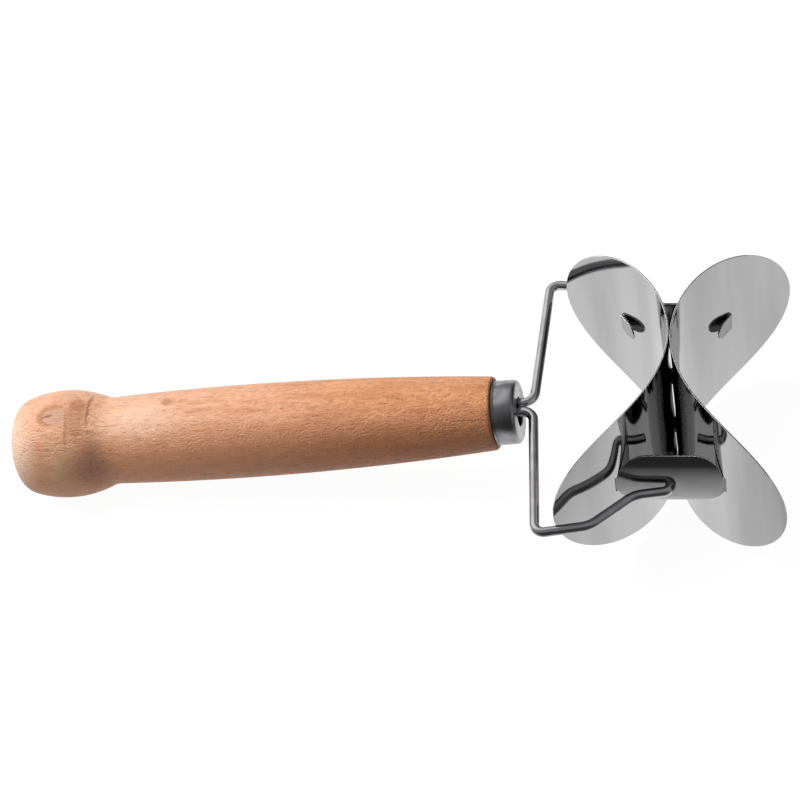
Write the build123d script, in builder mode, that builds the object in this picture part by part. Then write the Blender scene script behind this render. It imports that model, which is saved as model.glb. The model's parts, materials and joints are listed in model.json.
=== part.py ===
from build123d import *
import os
from math import acos, asin, atan2, cos, degrees, hypot, pi, radians, sin, sqrt

# Dumpling wrapper roller cutter, in millimetres and degrees.
# It lies on a table at Z = 0, with the roller axis along Y above the origin and the handle towards -X.
# The roller frame has u forwards, v along the axis and w up. The yoke frame has the handle axis as its x.

# Roller
ROLLER_RADIUS = 28.0  # rolling cylinder that every cutting edge lies on
ROLLER_TURN = 2.0  # how far the roller stands turned about its axis
BLADE_REACH = 34.3  # from the middle of the roller to a blade's tip
BLADE_SHEET = 0.4
SEAM_GAP = 0.4  # between the two blades along the waist
PROFILE_STEPS = 5  # profile points from the waist to a tip

# End plates and their tabs
PLATE_INSET = 9.7  # from a blade's tip in to the middle of a plate's hub
PLATE_SHEET = 0.5
PLATE_DEPTH = 18.8
PLATE_BOW = 1.9  # how far a plate's hub stands out from its free edges
PLATE_CLEARANCE = 0.1  # to the blades' walls
TAB_WIDTH = 5.5
TAB_LENGTH = 5.3
TAB_BEND = 0.1  # inner radius of the fold
TAB_LIFT = 15.0  # angle left between a folded tab and the blade
TAB_CLEARANCE = 0.1
SLIT_CLEARANCE = 0.1
ROOM_SAMPLES = 40  # heights at which a plate's room between the blades is measured

# Spot welds along the waist
WELD_RADIUS = 2.0
WELD_SPACING = 20.6
WELD_CLEARANCE = 0.02

# Yoke wires
WIRE_RADIUS = 1.25
STUB_CLEARANCE = 0.08  # radial, between a wire stub and its hub hole
STUB_INSIDE = 8.8  # stub length inside the plate
HOOK_CLEARANCE = 0.6  # between the wire and the outside of a plate
TIP_CLEARANCE = 2.0  # between the side arm and the blade tips
CROSSBAR_CLEARANCE = 3.3  # between the crossbar and the rolling cylinder
CROSSBAR_LEAN = 2.3  # how far the crossbar leans back towards the handle
SIDE_LEAN = 1.6  # how far a side arm leans in towards the roller
SHOULDER_AT = 19.2  # distances from the roller axis to the two bends of a side arm
ELBOW_AT = 8.8
ELBOW_RISE = 0.9  # how far the elbow stands outside the hook
TANG_GAP = 0.1  # between the two tangs
TANG_RISE = 1.7  # height of the tangs above the handle's axis
TANG_LENGTH = 45.0  # inside the wood
NECK_BEND = 3.0  # bend radii, on the wire's centre line
CORNER_BEND = 2.4
SHOULDER_BEND = 7.0
ELBOW_BEND = 7.0
HOOK_BEND = 2.0

# Ferrule
FERRULE_RADIUS = 8.05
FERRULE_LENGTH = 6.0
FERRULE_SHEET = 0.6
FERRULE_ROUND = 0.7  # radius of the front edge, at mid sheet
FERRULE_HOLE_CLEARANCE = 0.3  # round the two wires
FERRULE_STAND_OFF = 3.85  # from the ferrule's front to the crossbar
FERRULE_CLEARANCE = 0.05

# Handle
FRONT_RADIUS = 9.2
FRONT_ROUND = 0.8
BELLY_AT = 50.9  # from the front of the wood
BELLY_RADIUS = 11.7
BARREL_LENGTH = 99.4  # from the front of the wood to the neck
NECK_RADIUS = 11.1
NECK_HOLLOW = 6.0  # radius of the hollow between barrel and knob
KNOB_RADIUS = 13.8
KNOB_CROWN = 27.6  # radius of the knob's crowned side
KNOB_LENGTH = 26.1  # from the neck to the rear end
KNOB_ROUND = 5.8
BORE_CLEARANCE = 0.05
BORE_END_CLEARANCE = 1.0

# Blade section: on the rolling cylinder unrolled flat, each cutting edge is half an ellipse
waist = (SEAM_GAP + BLADE_SHEET) / 2


def blade_centre(v):
    """Distance of a blade's mid sheet from the roller axis at the axial place v."""
    edge_angle = pi / 2 * sqrt(1 - (v / BLADE_REACH) ** 2)
    return waist + (ROLLER_RADIUS - waist) * cos(edge_angle)


def blade_slope(v):
    """How fast that distance grows along the axis."""
    share = v / BLADE_REACH
    root = sqrt(1 - share**2)
    return (ROLLER_RADIUS - waist) * sin(pi / 2 * root) * pi / 2 * share / root / BLADE_REACH


def blade_half_sheet(v):
    """Half the sheet's thickness, measured square to the roller axis."""
    return BLADE_SHEET / 2 * sqrt(1 + blade_slope(v) ** 2)


# Plate outline: straight sides as wide as a tab, round corners, and clear of the blades all along
plate_offset = BLADE_REACH - PLATE_INSET
half_depth = PLATE_DEPTH / 2
plate_corner = half_depth - TAB_WIDTH / 2
bow_radius = (half_depth**2 + PLATE_BOW**2) / (2 * PLATE_BOW)
hub_hole = WIRE_RADIUS + STUB_CLEARANCE


def plate_room(w):
    """Half width that lets a plate clear the blades' inner walls at the height w."""
    bow = bow_radius - sqrt(bow_radius**2 - w**2)
    v = plate_offset - PLATE_SHEET / 2 - bow
    above_straight = max(w - TAB_WIDTH / 2, 0)
    setback = plate_corner - sqrt(plate_corner**2 - above_straight**2)
    return blade_centre(v) - blade_half_sheet(v) + setback


heights = [half_depth * i / ROOM_SAMPLES for i in range(ROOM_SAMPLES + 1)]
plate_half_width = min(plate_room(w) for w in heights) - PLATE_CLEARANCE

# Tab: straight out through its slit, then folded back along the blade towards the waist
tab_face = plate_offset - PLATE_SHEET / 2
tab_bend_at = blade_centre(tab_face) + blade_half_sheet(tab_face) + TAB_CLEARANCE
tab_bend_radius = TAB_BEND + PLATE_SHEET / 2
tab_fold = 180 - degrees(atan2(1, blade_slope(plate_offset))) - TAB_LIFT
tab_root = plate_half_width - PLATE_SHEET
slit_gap = PLATE_SHEET + 2 * SLIT_CLEARANCE
slit_width = TAB_WIDTH + 2 * SLIT_CLEARANCE
slit_depth = 2 * (blade_half_sheet(plate_offset) + slit_gap * blade_slope(plate_offset))

# Yoke, as distances from the roller axis along the handle and half widths along the roller axis
yoke_half_width = BLADE_REACH + TIP_CLEARANCE + WIRE_RADIUS
corner_at = ROLLER_RADIUS + CROSSBAR_CLEARANCE + WIRE_RADIUS
crossbar_at = corner_at + CROSSBAR_LEAN
hook_half_width = plate_offset + PLATE_SHEET / 2 + HOOK_CLEARANCE + WIRE_RADIUS
tang_half_width = WIRE_RADIUS + TANG_GAP / 2
ferrule_hole = hypot(tang_half_width, TANG_RISE) + WIRE_RADIUS + FERRULE_HOLE_CLEARANCE


def arm_rise(distance):
    """Height of a side arm above the handle's axis, falling from the crossbar to the hub."""
    return TANG_RISE * distance / corner_at


# Handle stations, as distances from the roller axis
ferrule_front = crossbar_at + FERRULE_STAND_OFF
tenon_front = ferrule_front + FERRULE_SHEET
tenon_radius = FERRULE_RADIUS - FERRULE_SHEET - FERRULE_CLEARANCE
wood_front = ferrule_front + FERRULE_LENGTH
neck_at = wood_front + BARREL_LENGTH
wood_rear = neck_at + KNOB_LENGTH
flare_turn = acos(1 - (KNOB_RADIUS - NECK_RADIUS) / (NECK_HOLLOW + KNOB_CROWN))
knob_at = neck_at + (NECK_HOLLOW + KNOB_CROWN) * sin(flare_turn)
crown_centre = KNOB_RADIUS - KNOB_CROWN
rear_turn = asin((wood_rear - knob_at) / KNOB_CROWN)
rear_radius = crown_centre + KNOB_CROWN * cos(rear_turn)

# The handle drops until its knob rests on the table that the roller stands on
tilt = asin((ROLLER_RADIUS - KNOB_CROWN) / hypot(knob_at, crown_centre)) - atan2(crown_centre, knob_at)

# Frames at the middle of the roller
roller_centre = (0, 0, ROLLER_RADIUS)
turn = radians(ROLLER_TURN)
roller_frame = Plane(roller_centre, x_dir=(cos(turn), 0, -sin(turn)), z_dir=(sin(turn), 0, cos(turn)))
bow_frame = Plane(roller_centre, x_dir=(0, 1, 0), z_dir=roller_frame.x_dir)
outline_frame = Plane(roller_centre, x_dir=roller_frame.x_dir, z_dir=(0, -1, 0))
yoke_frame = Plane(roller_centre, x_dir=(cos(tilt), 0, sin(tilt)), z_dir=(-sin(tilt), 0, cos(tilt)))
handle_axis = Axis(roller_centre, yoke_frame.x_dir)


def make_blade(facing):
    """One bowed blade, facing forwards (1) or back towards the handle (-1)."""
    steps = range(-PROFILE_STEPS, PROFILE_STEPS + 1)
    places = [BLADE_REACH * sin(pi / 2 * step / PROFILE_STEPS) for step in steps]
    overrun = 2 * BLADE_SHEET  # past the cutting edge, trimmed away below
    with BuildPart(roller_frame) as blade:
        with BuildSketch(roller_frame):
            with BuildLine():
                bend = Spline(*[(facing * blade_centre(v), v) for v in places])
                Line(bend @ 0, bend @ 0 - (bend % 0) * overrun)
                Line(bend @ 1, bend @ 1 + (bend % 1) * overrun)
            trace(line_width=BLADE_SHEET)
        extrude(amount=ROLLER_RADIUS, both=True)
        axial_length = 2 * (BLADE_REACH + overrun)
        Cylinder(ROLLER_RADIUS, axial_length, rotation=(90, 0, 0), mode=Mode.INTERSECT)
        wall = facing * blade_centre(plate_offset)
        with Locations((wall, plate_offset, 0), (wall, -plate_offset, 0)):
            Box(slit_depth, slit_gap, slit_width, mode=Mode.SUBTRACT)
    return blade


def make_end_plate(side):
    """One bowed end plate with a hub hole and two folded tabs, on the left (1) or right (-1)."""
    place = side * plate_offset
    fold = radians(tab_fold)
    with BuildPart(roller_frame) as plate:
        with BuildSketch(bow_frame):
            with BuildLine():
                bow_turn = degrees(asin((half_depth + PLATE_SHEET) / bow_radius))
                hub_direction = 90 - side * 90
                bow_centre = side * (plate_offset - bow_radius)
                CenterArc((bow_centre, 0), bow_radius, hub_direction - bow_turn, 2 * bow_turn)
            trace(line_width=PLATE_SHEET)
        extrude(amount=plate_half_width, both=True)
        with BuildSketch(outline_frame):
            RectangleRounded(2 * plate_half_width, PLATE_DEPTH, plate_corner)
        extrude(amount=BLADE_REACH, both=True, mode=Mode.INTERSECT)
        # a tab at the front (1) and at the rear (-1)
        for end in (1, -1):
            with BuildSketch(roller_frame):
                with BuildLine():
                    root = Line((end * tab_root, place), (end * tab_bend_at, place))
                    JernArc(root @ 1, root % 1, tab_bend_radius, -side * end * tab_fold)
                trace(line_width=PLATE_SHEET)
            extrude(amount=TAB_WIDTH / 2, both=True)
            leg_u = end * (tab_bend_at + tab_bend_radius * sin(fold))
            leg_v = side * (plate_offset - tab_bend_radius * (1 - cos(fold)))
            leg_start = roller_frame.from_local_coords((leg_u, leg_v, 0))
            leg_along = end * cos(fold) * roller_frame.x_dir - side * sin(fold) * roller_frame.y_dir
            leg_square = leg_along.cross(roller_frame.z_dir)
            with BuildSketch(Plane(leg_start, x_dir=leg_along, z_dir=leg_square)):
                straight = TAB_LENGTH - TAB_WIDTH / 2
                Rectangle(straight, TAB_WIDTH, align=(Align.MIN, Align.CENTER))
                with Locations((straight, 0)):
                    Circle(TAB_WIDTH / 2)
            extrude(amount=PLATE_SHEET / 2, both=True)
        with Locations((0, place, 0)):
            Cylinder(hub_hole, 2 * PLATE_SHEET, rotation=(90, 0, 0), mode=Mode.SUBTRACT)
    return plate


def make_yoke_wire(side):
    """One yoke wire, from its tang in the handle to its stub in the hub, on the left (1) or right (-1)."""
    route = [
        (-tenon_front - TANG_LENGTH, side * tang_half_width, TANG_RISE),
        (-crossbar_at, side * tang_half_width, TANG_RISE),
        (-corner_at, side * yoke_half_width, TANG_RISE),
        (-SHOULDER_AT, side * (yoke_half_width - SIDE_LEAN), arm_rise(SHOULDER_AT)),
        (-ELBOW_AT, side * (hook_half_width + ELBOW_RISE), arm_rise(ELBOW_AT)),
        (0, side * hook_half_width, 0),
        (0, side * (plate_offset - STUB_INSIDE), 0),
    ]
    with BuildPart() as wire:
        with BuildLine(yoke_frame) as path:
            FilletPolyline(*route, radius=[NECK_BEND, CORNER_BEND, SHOULDER_BEND, ELBOW_BEND, HOOK_BEND])
        with BuildSketch(Plane(path.line @ 0, z_dir=path.line % 0)):
            Circle(WIRE_RADIUS)
        sweep()
    return wire


# Weld spots between the blades
with BuildPart(roller_frame) as spot_welds:
    with Locations((0, 0, WELD_SPACING / 2), (0, 0, -WELD_SPACING / 2)):
        Cylinder(WELD_RADIUS, SEAM_GAP - 2 * WELD_CLEARANCE, rotation=(0, 90, 0))

# Ferrule: a drawn cap, seated on the wood's shoulder
with BuildPart() as ferrule:
    with BuildSketch(yoke_frame):
        with BuildLine():
            wall_radius = FERRULE_RADIUS - FERRULE_SHEET / 2
            face_at = ferrule_front + FERRULE_SHEET / 2
            cap = [(-wood_front, wall_radius), (-face_at, wall_radius), (-face_at, ferrule_hole)]
            FilletPolyline(*cap, radius=FERRULE_ROUND)
        trace(line_width=FERRULE_SHEET)
    revolve(axis=handle_axis)

# Handle: tenon, barrel, neck and crowned knob, bored for the two tangs
with BuildPart() as handle:
    with BuildSketch(yoke_frame) as handle_section:
        with BuildLine():
            front_edge = (-wood_front, FRONT_RADIUS)
            tenon_edge = (-tenon_front, tenon_radius)
            Polyline((-tenon_front, 0), tenon_edge, (-wood_front, tenon_radius), front_edge)
            ThreePointArc(front_edge, (-wood_front - BELLY_AT, BELLY_RADIUS), (-neck_at, NECK_RADIUS))
            CenterArc((-neck_at, NECK_RADIUS + NECK_HOLLOW), NECK_HOLLOW, 270, -degrees(flare_turn))
            crown_size = degrees(flare_turn + rear_turn)
            CenterArc((-knob_at, crown_centre), KNOB_CROWN, 90 - degrees(flare_turn), crown_size)
            rear_edge = (-wood_rear, rear_radius)
            Polyline(rear_edge, (-wood_rear, 0), (-tenon_front, 0))
        make_face()
        fillet(handle_section.vertices().sort_by_distance(tenon_edge)[0], FERRULE_ROUND)
        fillet(handle_section.vertices().sort_by_distance(front_edge)[0], FRONT_ROUND)
        fillet(handle_section.vertices().sort_by_distance(rear_edge)[0], KNOB_ROUND)
    revolve(axis=handle_axis)
    bore_mouth = yoke_frame.from_local_coords((-tenon_front, 0, TANG_RISE))
    with BuildSketch(Plane(bore_mouth, z_dir=-yoke_frame.x_dir)):
        Circle(tang_half_width + WIRE_RADIUS + BORE_CLEARANCE)
    extrude(amount=TANG_LENGTH + BORE_END_CLEARANCE, mode=Mode.SUBTRACT)

pieces = {
    "handle": handle,
    "ferrule": ferrule,
    "left_yoke_wire": make_yoke_wire(1),
    "right_yoke_wire": make_yoke_wire(-1),
    "front_blade": make_blade(1),
    "rear_blade": make_blade(-1),
    "left_end_plate": make_end_plate(1),
    "right_end_plate": make_end_plate(-1),
    "spot_welds": spot_welds,
}
os.makedirs("parts", exist_ok=True)
for name, piece in pieces.items():
    piece.part.label = name
    export_step(piece.part, f"parts/{name}.step")
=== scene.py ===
import json
from math import acos, asin, atan2, cos, hypot, pi, radians, sin, sqrt, tan

import bmesh
import bpy
from bpy.props import FloatProperty, FloatVectorProperty, PointerProperty
from bpy.types import Operator, Panel, PropertyGroup
from mathutils import Matrix, Vector


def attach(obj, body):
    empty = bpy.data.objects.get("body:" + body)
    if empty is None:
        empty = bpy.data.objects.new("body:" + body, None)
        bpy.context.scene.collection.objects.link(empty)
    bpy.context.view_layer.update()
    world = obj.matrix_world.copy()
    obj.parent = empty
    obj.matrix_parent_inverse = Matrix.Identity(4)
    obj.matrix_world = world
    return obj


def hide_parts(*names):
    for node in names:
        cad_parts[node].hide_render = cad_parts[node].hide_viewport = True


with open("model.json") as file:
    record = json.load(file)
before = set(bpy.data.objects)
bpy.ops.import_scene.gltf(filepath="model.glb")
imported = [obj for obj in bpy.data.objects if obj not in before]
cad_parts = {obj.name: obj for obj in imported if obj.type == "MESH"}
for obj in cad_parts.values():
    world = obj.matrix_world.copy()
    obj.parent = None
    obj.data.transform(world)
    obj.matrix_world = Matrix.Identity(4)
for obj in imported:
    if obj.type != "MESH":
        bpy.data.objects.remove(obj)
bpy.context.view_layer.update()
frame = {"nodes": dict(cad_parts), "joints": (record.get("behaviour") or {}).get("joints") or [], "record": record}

bl_info = {
    "name": "Dumpling wrapper roller cutter",
    "version": (1, 0, 0),
    "blender": (4, 5, 0),
    "location": "View3D > Sidebar > Roller cutter",
    "description": "Models and finishes a hand roller that cuts round dough wrappers",
    "category": "Mesh",
}

# The pieces are shaped about the middle of the roller, then turned and moved to their place.
# Grip pieces have x along the handle towards the roller. Roller pieces have x forwards and z up.
MM = 0.001
mounts = {mount["name"]: mount for mount in frame["record"]["mounts"]}
joints = {joint["name"]: joint for joint in frame["joints"]}
roller_centre = Vector(joints["roller_spin"]["pos_m"])
grip_axis = mounts["grip"]["axis"]
handle_tilt = atan2(grip_axis[2], grip_axis[0]) + pi


def length(name, description, millimetres):
    """A length that the sidebar shows, given in millimetres and kept in metres."""
    default = millimetres * MM
    return FloatProperty(name=name, description=description, default=default, unit="LENGTH", precision=5)


def angle(name, description, degrees):
    """An angle that the sidebar shows."""
    return FloatProperty(name=name, description=description, default=radians(degrees), subtype="ANGLE")


def colour(name, description, red, green, blue):
    """A colour that the sidebar shows, in linear light."""
    return FloatVectorProperty(
        name=name, description=description, default=(red, green, blue, 1),
        size=4, subtype="COLOR", min=0, max=1,
    )


class RollerSizes(PropertyGroup):
    """Blades, end plates and tabs."""

    radius: FloatProperty(
        name="Radius", description="Rolling cylinder that every cutting edge lies on",
        default=roller_centre.z, unit="LENGTH", precision=5,
    )
    turn: angle("Turn", "How far the roller stands turned about its axis", 2)
    blade_reach: length("Blade reach", "From the middle of the roller to a blade's tip", 34.3)
    blade_sheet: length("Blade sheet", "Thickness of a blade", 0.4)
    seam_gap: length("Seam gap", "Between the two blades along the waist", 0.4)
    plate_inset: length("Plate inset", "From a blade's tip in to a plate's hub", 9.7)
    plate_sheet: length("Plate sheet", "Thickness of an end plate", 0.5)
    plate_depth: length("Plate depth", "Height of an end plate", 18.8)
    plate_bow: length("Plate bow", "How far a plate's hub stands out from its free edges", 1.9)
    plate_clearance: length("Plate clearance", "Between a plate and the blades' walls", 0.1)
    tab_width: length("Tab width", "Width of a folded tab", 5.5)
    tab_length: length("Tab length", "From the fold to the tip of a tab", 5.3)
    tab_bend: length("Tab bend", "Inner radius of a tab's fold", 0.1)
    tab_lift: angle("Tab lift", "Angle left between a tab and the blade", 15)
    tab_clearance: length("Tab clearance", "Between a tab's fold and the blade", 0.1)
    slit_clearance: length("Slit clearance", "Round a tab in its slit", 0.1)
    tab_round: length("Tab round", "Rounding of the end plates' cut edges", 0.2)
    edge_break: length("Edge break", "Width of the ground-off sheet edges", 0.08)
    weld_at: length("Weld place", "From the middle of the waist to a weld spot", 10.3)
    dimple: length("Dimple", "How far a blade is drawn in at a weld spot and at its rim", 0.17)
    dimple_spread: length("Dimple spread", "Reach of a dimple round a weld spot", 7)
    stand_off: length("Stand-off", "How far a blade stands off between the weld spots", 0.1)
    edge_lean: length("Edge lean", "How far a plate's cut edges lean out with the blades", 0.45)


class YokeSizes(PropertyGroup):
    """The two bent wires."""

    wire_radius: length("Wire radius", "Radius of the yoke wire", 1.25)
    stub_clearance: length("Stub clearance", "Between a wire stub and its hub hole", 0.08)
    stub_inside: length("Stub inside", "Stub length inside the plate", 8.8)
    hook_clearance: length("Hook clearance", "Between the wire and the outside of a plate", 0.6)
    tip_clearance: length("Tip clearance", "Between a side arm and the blade tips", 2)
    crossbar_clearance: length("Crossbar clearance", "Between the crossbar and the rolling cylinder", 3.3)
    crossbar_lean: length("Crossbar lean", "How far the crossbar leans back towards the handle", 2.3)
    side_lean: length("Side lean", "How far a side arm leans in towards the roller", 1.6)
    shoulder_at: length("Shoulder place", "From the roller axis to a side arm's first bend", 19.2)
    elbow_at: length("Elbow place", "From the roller axis to a side arm's second bend", 8.8)
    elbow_rise: length("Elbow rise", "How far the elbow stands outside the hook", 0.9)
    tang_gap: length("Tang gap", "Between the two tangs", 0.1)
    tang_rise: length("Tang rise", "Height of the tangs above the handle's axis", 1.7)
    tang_length: length("Tang length", "Length of a tang inside the wood", 45)
    neck_bend: length("Neck bend", "Bend from the tang to the crossbar", 3)
    corner_bend: length("Corner bend", "Bend from the crossbar to the side arm", 2.4)
    arm_bend: length("Arm bend", "The two bends of a side arm", 7)
    hook_bend: length("Hook bend", "Bend from the side arm to the stub", 2)
    end_round: length("End round", "Rounding of a cut wire end", 0.4)


class GripSizes(PropertyGroup):
    """Ferrule and turned handle."""

    ferrule_radius: length("Ferrule radius", "Outer radius of the ferrule", 8.05)
    ferrule_length: length("Ferrule length", "Length of the ferrule", 6)
    ferrule_sheet: length("Ferrule sheet", "Wall of the ferrule", 0.6)
    ferrule_round: length("Ferrule round", "Radius of the ferrule's front edge, at mid sheet", 0.7)
    ferrule_hole: length("Ferrule hole", "Radius of the hole for the wires", 3.69)
    ferrule_lip: length("Ferrule lip", "Width of the turned lip at the ferrule's rear", 0.55)
    ferrule_stand_off: length("Ferrule stand-off", "From the ferrule's front to the crossbar", 3.85)
    ferrule_clearance: length("Ferrule clearance", "Between the ferrule and its tenon", 0.05)
    front_radius: length("Front radius", "Radius of the wood at the ferrule", 9.2)
    front_round: length("Front round", "Rounding of the wood's front edge", 0.8)
    belly_at: length("Belly place", "From the front of the wood to its belly", 50.9)
    belly_radius: length("Belly radius", "Radius of the wood at its belly", 11.7)
    barrel_length: length("Barrel length", "From the front of the wood to the neck", 99.4)
    neck_radius: length("Neck radius", "Radius of the wood at the neck", 11.1)
    neck_hollow: length("Neck hollow", "Radius of the hollow between barrel and knob", 6)
    knob_radius: length("Knob radius", "Largest radius of the knob", 13.8)
    knob_crown: length("Knob crown", "Radius of the knob's crowned side", 27.6)
    knob_length: length("Knob length", "From the neck to the rear end", 26.1)
    knob_round: length("Knob round", "Rounding of the knob's rear edge", 5.8)
    tenon_dish: length("Tenon dish", "Depth of the dish in the end of the tenon", 3)
    bore_clearance: length("Bore clearance", "Between the tangs and their bore", 0.05)


class FinishColours(PropertyGroup):
    """Colours of the wood and the steels."""

    wood_light: colour("Light wood", "Pale wood towards the knob", 0.82, 0.52, 0.37)
    wood_warm: colour("Warm wood", "Warm wood towards the ferrule", 0.79, 0.365, 0.178)
    # Dark and deep wood give the figure, and also the painted shade round the handle's right side
    wood_dark: colour("Dark wood", "Figure and the redder wood on the right side", 0.6, 0.235, 0.1)
    wood_deep: colour("Deep wood", "Redder wood on the right side towards the ferrule", 0.41, 0.135, 0.045)
    wood_pore: colour("Pores", "Pores, cracks and turning lines", 0.24, 0.085, 0.035)
    wood_knot: colour("Knot", "Knot and brown bands", 0.4, 0.17, 0.08)
    wood_heart: colour("Knot heart", "Pale heart of the knot", 0.6, 0.36, 0.26)
    wood_stain: colour("Stain", "Grey-brown stain round the neck", 0.26, 0.125, 0.078)
    wood_tan: colour("Tan", "Yellower wood on the knob", 0.6, 0.4, 0.24)
    wood_pale: colour("Pale", "Palest wood at the rear end and the neck", 0.95, 0.68, 0.52)
    # Painted shade: the wood inside the ferrule is painted nearly black, for the shade in the hole
    wood_bored_shade: colour("Bored end", "Scorched wood inside the ferrule", 0.012, 0.008, 0.006)
    ferrule_light: colour("Light ferrule", "Dull drawn steel where it is worn", 0.36, 0.357, 0.366)
    ferrule_dark: colour("Dark ferrule", "Dull drawn steel", 0.26, 0.257, 0.268)
    wire_light: colour("Light wire", "Drawn wire where it is worn", 0.6, 0.6, 0.605)
    wire_dark: colour("Dark wire", "Drawn wire", 0.48, 0.48, 0.49)
    blade_light: colour("Light blade", "Polished sheet", 0.53, 0.525, 0.53)
    blade_dark: colour("Dark blade", "Polished sheet in its darker streaks", 0.4, 0.395, 0.402)
    plate_light: colour("Light plate", "Rolled sheet of the end plates", 0.27, 0.27, 0.275)
    plate_dark: colour("Dark plate", "Rolled sheet in its darker streaks", 0.24, 0.24, 0.245)
    cut_edge: colour("Cut edge", "Dull cut edges of the sheets", 0.85, 0.85, 0.85)
    weld_light: colour("Light weld", "Weld spots", 0.1, 0.095, 0.09)
    weld_dark: colour("Dark weld", "Heat tint of the weld spots", 0.04, 0.036, 0.033)


class StageSettings(PropertyGroup):
    """Camera, floor and light."""

    camera_place: FloatVectorProperty(
        name="Camera place", description="Where the camera stands",
        default=(62.7 * MM, -453.5 * MM, 672.0 * MM), subtype="TRANSLATION", unit="LENGTH",
    )
    azimuth: angle("Azimuth", "Camera's turn about the vertical from straight behind the right side", 16.07)
    elevation: angle("Elevation", "Camera's height above the horizon", 53.66)
    roll: angle("Roll", "Camera's turn about its own line of sight", -14.18)
    lens: FloatProperty(name="Lens", description="Focal length in millimetres", default=144)
    floor: colour("Floor", "Plain pale floor", 0.75, 0.75, 0.75)
    floor_front: length("Floor front", "From under the roller to where the floor is as dim as the room", 88)
    floor_back: length("Floor back", "From under the roller to where the floor starts to dim", 18)
    floor_edge: colour("Floor edge", "The floor at its dim front edge, in polished metal", 0.22, 0.22, 0.222)
    room: colour("Room", "The dim room that the metal mirrors", 0.06, 0.06, 0.062)
    ceiling: colour("Ceiling", "The ceiling that the metal mirrors", 0.26, 0.26, 0.265)
    glow: colour("Glow", "The lit side of the ceiling", 1, 1, 1)


class CutterSettings(PropertyGroup):
    """All settings of the roller cutter."""

    roller: PointerProperty(type=RollerSizes)
    yoke: PointerProperty(type=YokeSizes)
    grip: PointerProperty(type=GripSizes)
    colours: PointerProperty(type=FinishColours)
    stage: PointerProperty(type=StageSettings)


# Shapes worked out from the sizes


class RollerShape:
    """The roller's shape, in its own frame: x forwards, y along the axis to the left, z up."""

    def __init__(self, sizes, yoke):
        self.radius = sizes.radius
        self.reach = sizes.blade_reach
        self.blade_sheet = sizes.blade_sheet
        self.waist = (sizes.seam_gap + sizes.blade_sheet) / 2
        self.hub_at = sizes.blade_reach - sizes.plate_inset
        self.half_depth = sizes.plate_depth / 2
        self.half_tab = sizes.tab_width / 2
        self.corner = self.half_depth - self.half_tab
        self.bow_radius = (self.half_depth**2 + sizes.plate_bow**2) / (2 * sizes.plate_bow)
        self.half_width = self.room_between_blades(sizes) - sizes.plate_clearance
        self.hub_hole = yoke.wire_radius + yoke.stub_clearance
        face = self.hub_at - sizes.plate_sheet / 2
        self.fold_at = self.blade_at(face) + self.blade_half_sheet(face) + sizes.tab_clearance
        self.fold_radius = sizes.tab_bend + sizes.plate_sheet / 2
        self.fold = pi - atan2(1, self.blade_slope(self.hub_at)) - sizes.tab_lift
        self.half_slit_gap = sizes.plate_sheet / 2 + sizes.slit_clearance
        self.half_slit_width = self.half_tab + sizes.slit_clearance

    def blade_at(self, y):
        """Distance of a blade's mid sheet from the axis. Unrolled flat, each edge is half an ellipse."""
        return self.waist + (self.radius - self.waist) * cos(pi / 2 * sqrt(1 - (y / self.reach) ** 2))

    def blade_slope(self, y):
        """How fast that distance grows along the axis."""
        share = y / self.reach
        root = sqrt(1 - share**2)
        return (self.radius - self.waist) * sin(pi / 2 * root) * pi / 2 * share / root / self.reach

    def blade_half_sheet(self, y):
        """Half a blade's thickness, measured square to the roller axis."""
        return self.blade_sheet / 2 * sqrt(1 + self.blade_slope(y) ** 2)

    def room_between_blades(self, sizes):
        """Half width that lets a bowed plate clear the blades all along."""
        steps = 40
        rooms = []
        for step in range(steps + 1):
            z = self.half_depth * step / steps
            y = self.hub_at - sizes.plate_sheet / 2 - self.bow_radius + sqrt(self.bow_radius**2 - z**2)
            setback = self.corner - sqrt(self.corner**2 - max(z - self.half_tab, 0) ** 2)
            rooms.append(self.blade_at(y) - self.blade_half_sheet(y) + setback)
        return min(rooms)


class GripShape:
    """Stations of the grip, as distances from the roller axis along the handle."""

    def __init__(self, sizes, roller, yoke):
        self.corner_at = roller.radius + yoke.crossbar_clearance + yoke.wire_radius
        self.crossbar_at = self.corner_at + yoke.crossbar_lean
        self.ferrule_front = self.crossbar_at + sizes.ferrule_stand_off
        self.tenon_front = self.ferrule_front + sizes.ferrule_sheet
        self.tenon_radius = sizes.ferrule_radius - sizes.ferrule_sheet - sizes.ferrule_clearance
        self.wood_front = self.ferrule_front + sizes.ferrule_length
        self.neck_at = self.wood_front + sizes.barrel_length
        self.rear = self.neck_at + sizes.knob_length
        flare_radius = sizes.neck_hollow + sizes.knob_crown
        self.flare = acos(1 - (sizes.knob_radius - sizes.neck_radius) / flare_radius)
        self.knob_at = self.neck_at + flare_radius * sin(self.flare)
        self.crown_centre = sizes.knob_radius - sizes.knob_crown


def roller_shape():
    """The roller's shape from the sidebar's sizes."""
    settings = bpy.context.scene.roller_cutter
    return RollerShape(settings.roller, settings.yoke)


def grip_shape():
    """The grip's stations from the sidebar's sizes."""
    settings = bpy.context.scene.roller_cutter
    return GripShape(settings.grip, settings.roller, settings.yoke)


# Modelling by hand

# How finely round forms are drawn
TURNED_SIDES = 128
ROUND_SIDES = 48
CORNER_STEPS = 6
NECK_STEPS = 8
BARREL_STEPS = 48
CROWN_STEPS = 32
KNOB_EDGE_STEPS = 14
FERRULE_FRONT_STEPS = 12
FERRULE_HOLE_STEPS = 10
BEND_STEP = radians(6)
LEAST_BEND_STEPS = 6
FOLD_STEPS = 14
BLADE_STEPS = 192
# Rows of faces along a sheet's rim, and the span of the grid inside them
BLADE_RIM_ROWS = (0.3 * MM, 0.5 * MM, 0.8 * MM, 1.2 * MM)
BLADE_GRID_SPAN = 48
PLATE_RIM_ROWS = (0.25 * MM, 0.4 * MM, 0.6 * MM)
PLATE_GRID_SPAN = 16
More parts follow.
